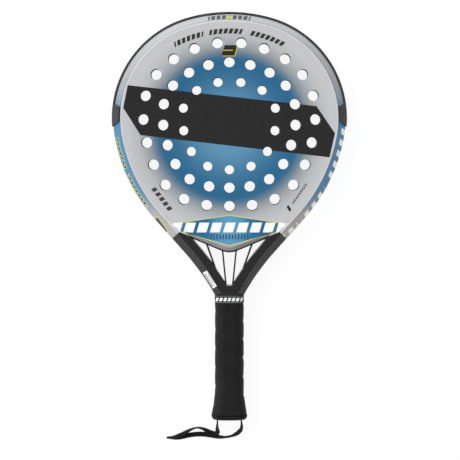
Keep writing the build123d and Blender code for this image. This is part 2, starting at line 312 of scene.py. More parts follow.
def make_stage(sizes):
    """Camera over the head, lit paper floor, soft side light and one wide key light."""
    scene = bpy.context.scene
    scene.view_settings.view_transform = "Standard"

    camera = bpy.data.objects.new("studio_camera", bpy.data.cameras.new("studio_camera"))
    camera.location = (AIM[0], CAMERA_Y, sizes.camera_height)
    sight = Vector(AIM) - camera.location
    camera.rotation_euler.x = atan2(sight.y, -sight.z)
    camera.data.sensor_width = SENSOR
    camera.data.lens = SENSOR * sight.length / sizes.view_width
    camera.data.clip_end = 100.0
    scene.collection.objects.link(camera)
    scene.camera = camera

    quarters = ((-1, -1), (1, -1), (1, 1), (-1, 1))
    corners = [(x * FLOOR_REACH, y * FLOOR_REACH, 0) for x, y in quarters]
    sheet = bpy.data.meshes.new("studio_floor")
    sheet.from_pydata(corners, [], [(0, 1, 2, 3)])
    floor = bpy.data.objects.new("studio_floor", sheet)
    floor.location.z = -FLOOR_GAP
    scene.collection.objects.link(floor)
    sheet.materials.append(studio_paper(sizes))

    lamp = bpy.data.lights.new("key_light", "SUN")
    lamp.energy = sizes.key
    lamp.angle = radians(KEY_SPREAD)
    key = bpy.data.objects.new("key_light", lamp)
    key.rotation_euler = (-Vector(KEY_FROM)).to_track_quat("-Z", "Y").to_euler()
    scene.collection.objects.link(key)

    scene.world = soft_box_world()


def studio_paper(sizes):
    """White paper, coated, lit from behind: even and almost without shadow."""
    material, tree, shader = new_material(
        "White paper, backlit", Emission_Strength=PAPER_GLOW, Specular_IOR_Level=0.0
    )
    shader.inputs["Emission Color"].default_value = sizes.paper
    place = place_on(tree)
    base = shaded(tree, sizes.paper[:3], grain(tree, place, 3.0, 0.99, 1.0), PAPER_BOUNCE)
    finish_surface(tree, shader, base, grain(tree, place, 5.0, 0.85, 0.95))
    return material


def soft_box_world():
    """Soft light: dim overhead, bright low on the left, dim low on the right."""
    world = bpy.data.worlds.new("Soft boxes")
    world.use_nodes = True
    tree = world.node_tree
    tree.nodes.clear()
    toward = add_node(tree, "TexCoord")
    parts = add_node(tree, "SeparateXYZ", {0: toward.outputs["Generated"]})
    height = parts.outputs["Z"]
    high = add_node(tree, "Math", {0: height, 1: height}, operation="MULTIPLY")
    low = add_node(tree, "Math", {0: 1.0, 1: high}, operation="SUBTRACT")
    side = add_node(
        tree, "Math", {0: parts.outputs["X"], 1: -SOFT_SIDE, 2: SOFT_SIDE},
        operation="MULTIPLY_ADD",
    )
    side = add_node(
        tree, "Math", {0: parts.outputs["Y"], 1: SOFT_TOP_END, 2: side}, operation="MULTIPLY_ADD"
    )
    strength = add_node(tree, "Math", {0: low, 1: side, 2: SOFT_ALL}, operation="MULTIPLY_ADD")
    glow = add_node(tree, "Background", {"Color": linear("#fdfdff"), "Strength": strength})
    add_node(tree, "OutputWorld", {"Surface": glow})
    return world


# ---------------------------------------------------------------- wrist strap
# Points of the lace's middle line in metres, and how far it stands up on its edge there, in
# degrees: out of the cap on the left, down to the fold, left to the tip, back under the fold
# and up into the cap on the right.
STRAP_ROUTE = [
    (-0.0132, -0.2205, 0.0190, 90),
    (-0.0132, -0.2280, 0.0186, 82),
    (-0.0134, -0.2338, 0.0150, 60),
    (-0.0131, -0.2382, 0.0104, 30),
    (-0.0130, -0.2413, 0.0074, 5),
    (-0.0146, -0.2434, 0.0054, 0),
    (-0.0177, -0.2434, 0.0044, 8),
    (-0.0230, -0.2414, 0.0042, 35),
    (-0.0288, -0.2380, 0.0038, 70),
    (-0.0353, -0.2364, 0.0035, 86),
    (-0.0418, -0.2381, 0.0036, 72),
    (-0.0475, -0.2412, 0.0044, 48),
    (-0.0554, -0.2455, 0.0052, 38),
    (-0.0630, -0.2474, 0.0044, 70),
    (-0.0675, -0.2474, 0.0036, 86),
    (-0.0696, -0.2476, 0.0032, 90),
    (-0.0697, -0.2484, 0.0031, 90),
    (-0.0677, -0.2487, 0.0031, 86),
    (-0.0634, -0.2489, 0.0030, 66),
    (-0.0550, -0.2478, 0.0018, 22),
    (-0.0459, -0.2455, 0.0010, 4),
    (-0.0368, -0.2442, 0.0009, 0),
    (-0.0272, -0.2444, 0.0009, 0),
    (-0.0182, -0.2460, 0.0010, 6),
    (-0.0101, -0.2476, 0.0024, 36),
    (-0.0022, -0.2474, 0.0031, 64),
    (0.0048, -0.2455, 0.0036, 62),
    (0.0098, -0.2424, 0.0056, 34),
    (0.0128, -0.2384, 0.0100, 22),
    (0.0136, -0.2335, 0.0150, 52),
    (0.0132, -0.2275, 0.0188, 80),
    (0.0132, -0.2205, 0.0190, 90),
]
LACE_STEPS = 20  # points round the lace
EDGE_BEAD = 0.22  # share by which its woven edges are thicker than its middle
YARN_SLOPE = 40.0  # degrees across the lace


def strap_line():
    """Points along a smooth line that follows the route, and the lace's lean at each."""
    data = bpy.data.curves.new("strap_route", "CURVE")
    data.dimensions = "3D"
    spline = data.splines.new("NURBS")
    spline.points.add(len(STRAP_ROUTE) - 1)
    for point, (x, y, z, _) in zip(spline.points, STRAP_ROUTE):
        point.co = (x, y, z, 1.0)
    spline.order_u = 3
    spline.use_endpoint_u = True
    spline.resolution_u = 12
    holder = bpy.data.objects.new("strap_route", data)
    bpy.context.scene.collection.objects.link(holder)
    line = bpy.data.meshes.new_from_object(holder)
    points = [vertex.co.copy() for vertex in line.vertices]
    bpy.data.objects.remove(holder)
    bpy.data.meshes.remove(line)
    leans = []
    for number in range(len(points)):
        spot = number / (len(points) - 1) * (len(STRAP_ROUTE) - 1)
        before = min(int(spot), len(STRAP_ROUTE) - 2)
        share = spot - before
        leans.append(STRAP_ROUTE[before][3] * (1 - share) + STRAP_ROUTE[before + 1][3] * share)
    return points, leans


def lace_outline(width, thickness):
    """Rounded flat section of the lace, thicker along its two woven edges."""
    # The powers under 1 square off what would be an ellipse.
    outline = []
    for step in range(LACE_STEPS):
        turn = 2 * pi * step / LACE_STEPS
        across = copysign(abs(cos(turn)) ** 0.55, cos(turn))
        rise = copysign(abs(sin(turn)) ** 0.7, sin(turn))
        edge_bead = 1 + EDGE_BEAD * abs(across) ** 4
        outline.append((across * width / 2, rise * thickness / 2 * edge_bead))
    return outline


def build_grid(name, rings, joined=False):
    """Mesh of rings of points, each joined to the next. Joined, the last ring goes on to the
    first; otherwise both ends are capped."""
    around = len(rings[0])
    vertices = [point for ring in rings for point in ring]
    faces = []
    for row in range(len(rings) if joined else len(rings) - 1):
        here, there = row * around, (row + 1) % len(rings) * around
        for step in range(around):
            after = (step + 1) % around
            faces.append((here + step, here + after, there + after, there + step))
    if not joined:
        faces.append(tuple(reversed(range(around))))
        faces.append(tuple(range((len(rings) - 1) * around, len(rings) * around)))
    mesh = bpy.data.meshes.new(name)
    mesh.from_pydata(vertices, [], faces)
    mesh.update()
    for face in mesh.polygons:
        face.use_smooth = True
    piece = bpy.data.objects.new(name, mesh)
    bpy.context.scene.collection.objects.link(piece)
    return piece


def map_along(piece, around, along):
    """Gives a grid a texture map: round its rings and along them, in millimetres. The last face
    of a ring ends at the full way round and not at 0."""
    layer = piece.data.uv_layers.new(name="along")
    count = len(around) - 1
    for face in piece.data.polygons:
        if len(face.vertices) != 4:
            continue
        for corner, loop in enumerate(face.loop_indices):
            row, step = divmod(face.vertices[corner], count)
            wrapped = step == 0 and max(v % count for v in face.vertices) == count - 1
            layer.data[loop].uv = (around[count if wrapped else step] / MM, along[row] / MM)


def make_strap(sizes):
    """Flat woven lace that turns on edge and back as it goes round its loop."""
    points, leans = strap_line()
    outline = lace_outline(sizes.width, sizes.thickness)
    rings, along = [], [0.0]
    for number, (point, lean) in enumerate(zip(points, leans)):
        before, after = points[max(number - 1, 0)], points[min(number + 1, len(points) - 1)]
        run = (after - before).normalized()
        level = Vector((0, 0, 1)).cross(run).normalized()
        up = run.cross(level)
        across = level * cos(radians(lean)) + up * sin(radians(lean))
        through = run.cross(across)
        rings.append([point + across * a + through * b for a, b in outline])
        if number:
            along.append(along[-1] + (point - points[number - 1]).length)
    strap = build_grid("woven_strap", rings)
    around = [0.0]
    for first, second in zip(outline, outline[1:] + outline[:1]):
        around.append(around[-1] + (Vector(second) - Vector(first)).length)
    map_along(strap, around, along)
    lace = woven_polyester(sizes)
    strap.data.materials.append(lace)
    dress(lace, "strap_knot_left", "strap_knot_right")

    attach(strap, BODY)
    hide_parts("wrist_strap")


def woven_polyester(sizes):
    """Polyester lace, flat woven: slanting ribs of yarn that catch the light, a dull black."""
    material, tree, shader = new_material(
        "Polyester lace, woven", Specular_IOR_Level=0.2, Sheen_Weight=0.05, Sheen_Roughness=0.5
    )
    along = add_node(tree, "TexCoord").outputs["UV"]
    # The yarns are 0.3 mm apart in such a lace, too fine to show, so they are drawn 0.9 mm apart.
    pitch = sizes.thread / MM
    rows = []
    for slope in (YARN_SLOPE, -YARN_SLOPE):
        turned = add_node(tree, "Mapping", {"Vector": along, "Rotation": (0, 0, radians(slope))})
        row = add_node(
            tree, "TexWave", {"Vector": turned, "Scale": WAVE / pitch, "Distortion": 0.6},
            wave_profile="SIN",
        )
        rows.append(row.outputs["Fac"])
    ribs = add_node(tree, "Math", {0: rows[0], 1: rows[1]}, operation="MULTIPLY")
    tone = add_node(tree, "MapRange", {"Value": ribs, "To Min": 0.5, "To Max": 1.9})
    base = shaded(tree, sizes.yarn[:3], tone)
    rough = grain(tree, place_on(tree), 1.2, 0.7, 0.9)
    finish_surface(tree, shader, base, rough, height=ribs, depth=0.25)
    return material


# ---------------------------------------------------------------- grip
# Lengths are in millimetres.
FLARE_LENGTH = 28.0  # lower part of the grip that widens over the butt cap
FLARE_WIDENING = (0.137, 0.00544)  # growth of the width along the flare, and of that growth
FLARE_DEEPENING = (0.0383, 0.00297)  # the same for the depth
ROLLED_EDGE, ROLL_DEPTH = 2.5, 0.8  # rounding of the tape's lower edge
TOP_EDGE, TOP_DEPTH = 1.0, 0.5  # where the tape runs under the band
TAPE_THICKNESS = 1.5
LAP_STEP = 0.22  # the upper edge of a turn stands over the turn before it
TUCKS, TUCK_LENGTH, TUCK_DEPTH = 34, 13.0, 0.5  # pleats where the tape is drawn in at the butt
SLACK = 0.12  # unevenness of the winding
GRIP_STEPS, GRIP_ROWS = 144, 190  # points round the grip, and rows down it


def section_point(half_width, half_depth, corner, share):
    """Point and outward direction at a share of the way round a rounded rectangle."""
    quarter, part = divmod(share * 4, 1)
    if quarter % 2:
        part = 1 - part
    flat_x, flat_z = half_width - corner, half_depth - corner
    arc = corner * pi / 2
    run = part * (flat_x + arc + flat_z)
    turn = min(max((run - flat_z) / corner, 0), pi / 2)
    x = flat_x + corner * cos(turn) - max(run - flat_z - arc, 0)
    z = flat_z + corner * sin(turn) - max(flat_z - run, 0)
    side = (1, -1, -1, 1)[int(quarter)], (1, 1, -1, -1)[int(quarter)]
    return (x * side[0], z * side[1]), (cos(turn) * side[0], sin(turn) * side[1])


def flared(size, growth, widened):
    """Width or depth of the grip, in metres, at a place widened millimetres along its flare."""
    return size + (growth[0] * widened + growth[1] * widened**2) * MM


def tape_relief(share, run, left, sizes):
    """How far the tape stands out at a share of the way round, in metres: run is the distance
    from its top and left the distance to its lower edge, in millimetres."""
    end_share = max(1 - left / ROLLED_EDGE, 0)
    top_share = max(1 - run / TOP_EDGE, 0)
    roll = (1 - (1 - end_share**2) ** 0.5) * ROLL_DEPTH + top_share**2 * TOP_DEPTH
    pucker = max(1 - left / TUCK_LENGTH, 0)
    wound = (run * MM / sizes.tape_pitch + share) % 1
    dip = abs(2 * wound - 1) ** 5 * sizes.lap_dip * (1 - pucker / 2)
    lap = LAP_STEP * (1 - wound) * (1 - pucker)
    turn = 2 * pi * share
    creases = sin(turn * TUCKS + 3 * sin(turn * 3)) * 0.5 + 0.5
    tucks = creases * pucker**1.6 * TUCK_DEPTH
    return (lap - tucks - roll) * MM - dip


def make_grip(sizes):
    """Cushion tape wound down the handle, its turns crowned, drawn in and puckered at the butt."""
    low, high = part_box("cushion_grip")
    middle_z = (low.z + high.z) / 2
    outer, inner = [], []
    for row in range(GRIP_ROWS + 1):
        y = high.y + (low.y - high.y) * row / GRIP_ROWS
        run, left = (high.y - y) / MM, (y - low.y) / MM
        widened = max(FLARE_LENGTH - left, 0)
        width = flared(sizes.width, FLARE_WIDENING, widened)
        depth = flared(sizes.depth, FLARE_DEEPENING, widened)
        ring_out, ring_in = [], []
        for step in range(GRIP_STEPS):
            share = step / GRIP_STEPS
            (x, z), (nx, nz) = section_point(width / 2, depth / 2, sizes.corner, share)
            slack = sin(2 * pi * share * 5 + y / MM / 6.5) * sin(y / MM / 9.0) * SLACK * MM
            for ring, out in (
                (ring_out, tape_relief(share, run, left, sizes) + slack),
                (ring_in, -TAPE_THICKNESS * MM),
            ):
                ring.append((x + nx * out, y, middle_z + z + nz * out))
        outer.append(ring_out)
        inner.append(ring_in)
    grip = build_grid("wrapped_grip", outer + inner[::-1], joined=True)
    grip.data.materials.append(cushion_tape(sizes))
    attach(grip, BODY)
    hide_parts("cushion_grip")


def cushion_tape(sizes):
    """Polyurethane leather tape, embossed and perforated: matt black with a dry, slightly grey
    bloom."""
    material, tree, shader = new_material(
        "Polyurethane grip tape, embossed", Specular_IOR_Level=0.2, Sheen_Weight=0.03,
        Sheen_Roughness=0.6,
    )
    place = place_on(tree)
    cells = add_node(
        tree, "TexVoronoi", {"Vector": place, "Scale": 1 / 1.3, "Randomness": 0.9},
        feature="DISTANCE_TO_EDGE",
    )
    # The tape's holes are 0.5 mm wide, too fine to show, so they are drawn 0.9 mm wide, 4 mm apart.
    dots = add_node(tree, "TexVoronoi", {"Vector": place, "Scale": 1 / 4.0, "Randomness": 0.15})
    away, thick = dots.outputs["Distance"], cells.outputs["Distance"]
    hole = add_node(tree, "MapRange", {"Value": away, "From Min": 0.10, "From Max": 0.16})
    leather = add_node(tree, "MapRange", {"Value": thick, "From Max": 0.25, "To Min": 0.55})
    relief = add_node(tree, "Math", {0: leather, 1: hole}, operation="MULTIPLY")
    tone = add_node(tree, "MapRange", {"Value": relief, "To Min": 0.55, "To Max": 1.05})
    base = shaded(tree, sizes.tape[:3], tone, grain(tree, place, 14.0, 0.8, 1.35))
    finish_surface(tree, shader, base, grain(tree, place, 9.0, 0.62, 0.8), relief, 0.12)
    return material


# ---------------------------------------------------------------- painted laminate
# Lengths and places are in millimetres, and the corners of a patch go anticlockwise.
DISC_CENTRE = (0.0, 97.0)  # middle of the sprayed disc
HEAD_RIM = (109.0, 113.0)  # from that middle to where the painted highlight along the edge begins
HIGHLIGHT_WIDTH = 2.2  # how far the painted highlight reaches from the edge
JAW_CENTRE_X, JAW_CENTRE_Y, JAW_RADIUS = 52.6, 119.2, 182.0  # circle that the lower sides follow
CROWN_CENTRE, CROWN_RADIUS = (0.0, 56.3), 168.3  # circle that the crown follows
BAND = [(-112, 145), (-117, 120), (-98, 90), (110.5, 65.5), (116.5, 92), (96, 122)]
PANEL = [(0, 2.2), (-63, -7.5), (-53.5, -17.5), (0, -32.5), (53.5, -17.5), (63, -7.5)]
LIME_WIDTH = 0.95  # outline of the panel
BRIDGE_APEX, BRIDGE_RISE, BRIDGE_ROUNDING = -41.5, 22.7, 11.2  # its lower edge; rise in degrees
RIM_WIDTH = 1.6  # black rim of the heart on the bridge
BADGE = [(-5.2, 189), (-8.6, 177.6), (5.6, 177.6), (8.6, 189)]
BADGE_SHADOW = (0.9, -0.9)  # how far the badge's yellow shadow is moved
WORD_ARC = ((0, 76.6), 128.0)  # circle that the words under the crown stand on
SPLITS = [  # lines across both arms where silver meets black, with black to their left
    ((-55.2, -16.8), (-62.9, -24.0)),
    ((62.9, -24.0), (55.2, -16.8)),
]
# Rows of printed bars: middle, turn in degrees, length and height of the row, then the pitch,
# width and slant of its bars.
CROWN_WORDS = [
    ((x, 0), 0, (run, 5.6), 5.7, 3.9, 0.35) for x, run in ((-46, 34), (-4, 36), (43, 38))
]
BADGE_SLIT = ((-1.5, 183.4), 0, (11, 1.1), 40, 11, 0.25)
LEFT_WORD = ((-74.5, 19.5), -52, (33, 5.2), 6.6, 4.2, 0.2)
RIGHT_FINE_PRINT = ((77.5, 25.5), 54.7, (28, 2.6), 2.9, 1.7, 0.2)
RIGHT_MARK = ((65.8, 9.2), 54.7, (4.5, 6), 20, 3.2, 0.4)
LEFT_RAIL_TAB = ((-75.4, -9.4), -54.5, (20, 4.8), 60, 20, 0.4)
CROWN_MARKS = ((0, -4.6), 0, (48, 4.4), 6.1, 4.4, 0.2)
CROWN_SPOT = ((0, -4.6), 0, (7, 3.6), 40, 7, 0.3)
PANEL_BLOCKS = ((0, -11.9), 0, (128, 10.8), 14.6, 10.8, 0.3)
PANEL_STROKES = ((0, -22.3), 0, (42, 5.4), 3.4, 1.6, 0)
ARM_MARKS = ((33.4, -58.6), 50.6, (44, 1.8), 2.6, 1.5, 0.3)
# Blocks on the sides of the frame: degrees round from the top of the circle, how far out they
# stand, and length and height of the row. Then the pitch, width and slant of the blocks.
RIGHT_RAIL_ROWS = ((106, -2.0, (62, 4.0)), (126, -1.8, (44, 3.7)), (142, -1.5, (46, 3.8)))
RIGHT_RAIL_BLOCK = (12.5, 6.6, 0.5)
LEFT_RAIL_ROWS = ((-106, -2.4, (38, 3.4)), (-120.5, -2.4, (42, 3.4)))
LEFT_RAIL_BLOCK = (5.4, 3.7, -0.3)
LEFT_OUTLINE, TAB_OUTLINE = 0.55, 0.7  # lime round the marks on the left
TOW = 3.0  # a carbon tow is 2 mm wide, too fine to show, so it is drawn 3 mm wide


def bridge_depth(tree, place, apex):
    """How far a point lies above the bridge's rounded lower edge, moved so that it meets apex."""
    rise = tan(radians(BRIDGE_RISE))
    left = left_of(tree, place, (-1, apex + rise), (0, apex))
    right = left_of(tree, place, (0, apex), (1, apex + rise))
    return add_node(tree, "Math", {0: left, 1: right, 2: BRIDGE_ROUNDING}, operation="SMOOTH_MIN")


def carbon_weave(tree, place):
    """Twill of two tow directions, from 0 to 1.6."""
    turned = add_node(
        tree, "Mapping", {"Vector": place, "Rotation": (0, 0, radians(45)), "Scale": (1 / TOW,) * 3}
    )
    squares = add_node(tree, "TexChecker", {"Vector": turned, "Scale": 1.0})
    strands = add_node(
        tree, "TexWave", {"Vector": turned, "Scale": 0.8, "Distortion": 0.4},
        bands_direction="DIAGONAL",
    )
    return add_node(
        tree, "Math", {0: squares.outputs["Fac"], 1: 0.6, 2: strands.outputs["Fac"]},
        operation="MULTIPLY_ADD",
    )


def face_print(tree, place, reach, paint):
    """Silver face with a sprayed blue disc, a broad black band and small generic marks."""
    silver, sky, steel, haze = paint.silver[:], paint.sky[:], paint.steel[:], paint.haze[:]
    base = sprayed(
        tree, reach,
        [
            (0, sky), (27, mixed(sky, steel, 0.08)), (39, mixed(sky, steel, 0.38)),
            (50, mixed(sky, steel, 0.64)), (61, mixed(sky, steel, 0.88)), (72, steel),
            (78, mixed(steel, haze, 0.04)), (84, mixed(steel, haze, 0.45)), (89, haze),
            (95, mixed(haze, silver, 0.36)), (101, mixed(haze, silver, 0.68)), (113, silver),
        ],
    )
    base = printed(tree, base, paint.black[:], patch(tree, place, BAND))
    arc = round_place(tree, place, *WORD_ARC)
    for word in CROWN_WORDS:
        base = printed(tree, base, linear("#26261c"), bars(tree, arc, *word))
    for (x, y), tint in ((BADGE_SHADOW, "#c9b93c"), ((0, 0), "#16160f")):
        badge = patch(tree, place, [(a + x, b + y) for a, b in BADGE])
        base = printed(tree, base, linear(tint), badge)
    for row, tint in (
        (BADGE_SLIT, "#c9b93c"), (LEFT_WORD, "#3a3a3a"), (RIGHT_FINE_PRINT, "#4a4a4a"),
        (RIGHT_MARK, "#222222"),
    ):
        base = printed(tree, base, linear(tint), bars(tree, place, *row))
    return base


def rail_print(tree, place, paint, sloping):
    """Bevel and sides of the frame: silver at both ends, darkened by painted shade on the upper
    bevel, blue between them, with block marks.
    """
    up = add_node(tree, "SeparateXYZ", {0: place}).outputs["Y"]
    silver, rail = paint.silver[:], paint.rail[:]
    warm = mixed(silver, linear("#a5a39d"), 0.75)
    # Painted shade: the upper bevel's silver is darker than the face's silver.
    shaded_silver = linear("#a7a9aa")
    base = sprayed(
        tree, up,
        [
            (-30, warm), (2, warm), (14, mixed(warm, rail, 0.55)), (26, mixed(warm, rail, 0.95)),
            (60, rail), (108, rail), (122, mixed(rail, shaded_silver, 0.25)),
            (136, mixed(rail, shaded_silver, 0.75)), (158, shaded_silver), (205, mixed(shaded_silver, silver, 0.7)),
        ],
    )
    arc_mm = radians(1) * JAW_RADIUS
    right = round_place(tree, place, (-JAW_CENTRE_X, JAW_CENTRE_Y), JAW_RADIUS)
    for turn, outward, size in RIGHT_RAIL_ROWS:
        block = bars(tree, right, (turn * arc_mm, outward), 0, size, *RIGHT_RAIL_BLOCK)
        base = printed(tree, base, paint.white[:], inside_all(tree, [block, sloping]))
    left = round_place(tree, place, (JAW_CENTRE_X, JAW_CENTRE_Y), JAW_RADIUS)
    for turn, outward, size in LEFT_RAIL_ROWS:
        mark = bars(tree, left, (turn * arc_mm, outward), 0, size, *LEFT_RAIL_BLOCK)
        mark = inside_all(tree, [mark, sloping])
        base = printed(tree, base, paint.lime[:], mark)
        base = printed(tree, base, linear("#2b2b22"), mark, start=LEFT_OUTLINE)
    tab = bars(tree, place, *LEFT_RAIL_TAB)
    base = printed(tree, base, paint.lime[:], tab)
    base = printed(tree, base, linear("#3c3c38"), tab, start=TAB_OUTLINE)
    crown = round_place(tree, place, CROWN_CENTRE, CROWN_RADIUS)
    for row, tint in ((CROWN_MARKS, "#4a4c4c"), (CROWN_SPOT, "#bfc24e")):
        base = printed(tree, base, linear(tint), bars(tree, crown, *row))
    return base


def panel_print(tree, place, base, paint):
    """Blue panel over the bridge with a lime outline, slanted white blocks and fine strokes."""
    panel = patch(tree, place, PANEL)
    side = add_node(tree, "SeparateXYZ", {0: place}).outputs["X"]
    away = add_node(tree, "Math", {0: side}, operation="ABSOLUTE")
    blue = sprayed(
        tree, away,
        [
            (0, linear("#5c9cbf")), (12, linear("#4f94ba")), (25, linear("#206a92")),
            (38, linear("#165f90")), (60, linear("#4d8094")),
        ],
    )
    base = printed(tree, base, paint.lime[:], panel)
    base = printed(tree, base, blue, panel, start=LIME_WIDTH)
    blocks = inside_all(tree, [bars(tree, place, *PANEL_BLOCKS), panel])
    base = printed(tree, base, paint.white[:], blocks)
    return printed(tree, base, linear("#2a4b6c"), bars(tree, place, *PANEL_STROKES))


def painted_edge_highlight(tree, base, facing, reach, flat):
    """Painted highlight: a bright line painted along the edge between face and bevel."""
    eased = add_node(tree, "Bevel", {"Radius": HIGHLIGHT_WIDTH * MM}, samples=8)
    turned = add_node(tree, "VectorMath", {0: eased, 1: facing}, operation="DOT_PRODUCT")
    bright = add_node(
        tree, "MapRange", {"Value": turned, "From Min": 0.998, "From Max": 0.96, "To Max": 0.9}
    )
    inner, outer = HEAD_RIM
    outside = add_node(tree, "MapRange", {"Value": reach, "From Min": inner, "From Max": outer})
    bright = add_node(tree, "Math", {0: bright, 1: outside}, operation="MULTIPLY")
    bright = add_node(tree, "Math", {0: bright, 1: flat}, operation="MULTIPLY")
    # Near white is painted over the edge here: a painted highlight.
    return add_node(tree, "Mix", {0: bright, 6: base, 7: linear("#f4f4f4")}, data_type="RGBA")


def painted_laminate(paint):
    """Carbon and glass laminate, moulded, sprayed, printed and lacquered: colours under a smooth
    clear coat that softens each edge, with a painted highlight along the edge of the face and a
    trace of the weave beneath."""
    material, tree, shader = new_material(
        "Carbon laminate, painted and lacquered", Specular_IOR_Level=0.32, Coat_Weight=0.35,
        Coat_Roughness=0.2,
    )
    place = place_on(tree)
    facing = add_node(tree, "NewGeometry").outputs["True Normal"]
    rise = add_node(tree, "SeparateXYZ", {0: facing}).outputs["Z"]
    rise = add_node(tree, "Math", {0: rise}, operation="ABSOLUTE")
    sloping = add_node(tree, "Math", {0: rise, 1: 0.3}, operation="SUBTRACT")
    sloping = add_node(tree, "Math", {0: sloping, 1: 20.0}, operation="MULTIPLY")
    flat = add_node(tree, "MapRange", {"Value": rise, "From Min": 0.85, "From Max": 0.95})
    around = round_place(tree, place, DISC_CENTRE, 0.0)
    reach = add_node(tree, "SeparateXYZ", {0: around}).outputs["Y"]
    sides, front = rail_print(tree, place, paint, sloping), face_print(tree, place, reach, paint)
    head = add_node(tree, "Mix", {0: flat, 6: sides, 7: front}, data_type="RGBA")
    # Painted highlight: a near-white line painted along the edge of the face.
    head = painted_edge_highlight(tree, head, facing, reach, flat)

    # The bridge is plain grey between its panel and the black rim of the heart.
    below_splits = [left_of(tree, place, *ends) for ends in SPLITS]
    lower_edges = zip(PANEL[2:4], PANEL[3:5])
    over_heart = inside_all(tree, [left_of(tree, place, *ends) for ends in lower_edges])
    under_panel = add_node(tree, "Math", {0: over_heart, 1: -1.0}, operation="MULTIPLY")
    grey = inside_all(tree, [under_panel, *below_splits])
    head = printed(tree, head, linear("#a2a1a4"), grey)
    head = panel_print(tree, place, head, paint)

    # Metal flakes in the silver are under 0.1 mm, too fine to show, so they are drawn as clouds
    # 2.5 mm apart.
    weave = carbon_weave(tree, place)
    hint = {"Value": weave, "From Max": 1.6, "To Min": 0.985, "To Max": 1.015}
    tows = {"Value": weave, "From Max": 1.6, "To Min": 0.8, "To Max": 1.25}
    clouds = grain(tree, place, 2.5, 0.985, 1.015)
    head = shaded(tree, head, add_node(tree, "MapRange", hint), clouds)
    carbon = shaded(tree, paint.black[:3], add_node(tree, "MapRange", tows))
    above_heart = bridge_depth(tree, place, BRIDGE_APEX + RIM_WIDTH)
    under_rim = add_node(tree, "Math", {0: above_heart, 1: -1.0}, operation="MULTIPLY")
    black = inside_all(tree, [*below_splits, under_rim])
    head = printed(tree, head, carbon, black, soft=0.3)
    marks = inside_all(tree, [bars(tree, place, *ARM_MARKS), sloping])
    head = printed(tree, head, linear("#4c4e50"), marks)

    # Sprayed lacquer keeps a slight orange peel, 2 mm from crest to crest.
    peel = grain(tree, place, 2.0, 0.0, 1.0, detail=1.0)
    rough = grain(tree, place, 6.0, 0.28, 0.36)
    finish_surface(tree, shader, head, rough, height=peel, depth=0.008, edge=1.3)
    return material


# ---------------------------------------------------------------- other finishes of the CAD nodes
BAND_BLOCKS = (29.5, 3.8)  # length and height of the row of white blocks on the collar band
LABEL_LEAN = 6.0  # degrees by which the label stands steeper than the diagonal of its box
LABEL_ROW = 1.4  # from the label's middle to each of its two rows


def core_foam():
    """EVA foam, closed cell, cut by the drill: dull dark grey, painted as the shade inside the
    holes, with fine pores in the hole walls.
    """
    material, tree, shader = new_material("EVA foam, drilled", Specular_IOR_Level=0.25)
    place = place_on(tree)
    # Its cells are 0.2 mm wide, too fine to show, so they are drawn 0.8 mm wide.
    pores = add_node(tree, "TexVoronoi", {"Vector": place, "Scale": 1 / 0.8}).outputs["Distance"]
    tone = add_node(
        tree, "MapRange", {"Value": pores, "From Max": 0.6, "To Min": 0.7, "To Max": 1.1}
    )
    # The dark grey is painted shade. It stands for the dimness inside the drilled holes.
    base = shaded(tree, linear("#5b5c5e")[:3], tone)
    finish_surface(tree, shader, base, grain(tree, place, 4.0, 0.75, 0.9), pores, 0.1)
    return material


def filler_foam():
    """Polyurethane foam, foamed in place: cream and full of open pores."""
    material, tree, shader = new_material("Polyurethane foam, foamed", Specular_IOR_Level=0.2)
    place = place_on(tree)
    # Its cells are 0.4 mm wide, too fine to show, so they are drawn 1.1 mm wide.
    pores = add_node(tree, "TexVoronoi", {"Vector": place, "Scale": 1 / 1.1}).outputs["Distance"]
    tone = add_node(tree, "MapRange", {"Value": pores, "To Min": 0.75, "To Max": 1.05})
    base = shaded(tree, linear("#d8cfae")[:3], tone)
    finish_surface(tree, shader, base, grain(tree, place, 5.0, 0.85, 0.95), pores, 0.2)
    return material


def moulded_polyurethane():
    """Polyurethane, injection moulded in a spark-eroded mould: black, satin and unevenly
    scuffed."""
    material, tree, shader = new_material("Polyurethane, moulded", Specular_IOR_Level=0.5)
    place = place_on(tree)
    # Spark erosion leaves pits under 0.1 mm, too fine to show, so they are drawn 0.6 mm apart.
    pits = grain(tree, place, 0.6, 0.0, 1.0)
    scuffs = grain(tree, place, 11.0, 0.85, 1.25)
    base = shaded(tree, linear("#2b2b2c")[:3], scuffs)
    finish_surface(tree, shader, base, grain(tree, place, 7.0, 0.34, 0.5), pits, 0.03, edge=0.7)
    return material


def moulded_nylon():
    """Nylon, injection moulded: near black, with a soft shine along the struts."""
    material, tree, shader = new_material("Nylon, moulded", Specular_IOR_Level=0.5)
    place = place_on(tree)
    # Flow lines of the melt, 0.6 mm apart and 9 mm long.
    flow = add_node(tree, "Mapping", {"Vector": place, "Scale": (1 / 0.6, 1 / 9.0, 1 / 9.0)})
    streaks = add_node(tree, "TexNoise", {"Vector": flow, "Scale": 1.0, "Detail": 2.0})
    tone = add_node(tree, "MapRange", {"Value": streaks, "To Min": 0.8, "To Max": 1.3})
    base = shaded(tree, linear("#1a1a1b")[:3], tone)
    rough = grain(tree, place, 5.0, 0.4, 0.55)
    finish_surface(tree, shader, base, rough, streaks, 0.05, edge=0.3)
    return material


def cap_rubber():
    """Thermoplastic rubber, moulded: dull black with a fine sanded grain and rounded rims."""
    material, tree, shader = new_material("Thermoplastic rubber, moulded", Specular_IOR_Level=0.25)
    place = place_on(tree)
    # The mould's sanding is under 0.1 mm, too fine to show, so it is drawn 0.7 mm apart.
    sanded = grain(tree, place, 0.7, 0.0, 1.0)
    base = shaded(tree, linear("#0f0f10")[:3], grain(tree, place, 8.0, 0.8, 1.2))
    finish_surface(tree, shader, base, grain(tree, place, 6.0, 0.6, 0.75), sanded, 0.04, edge=0.8)
    return material


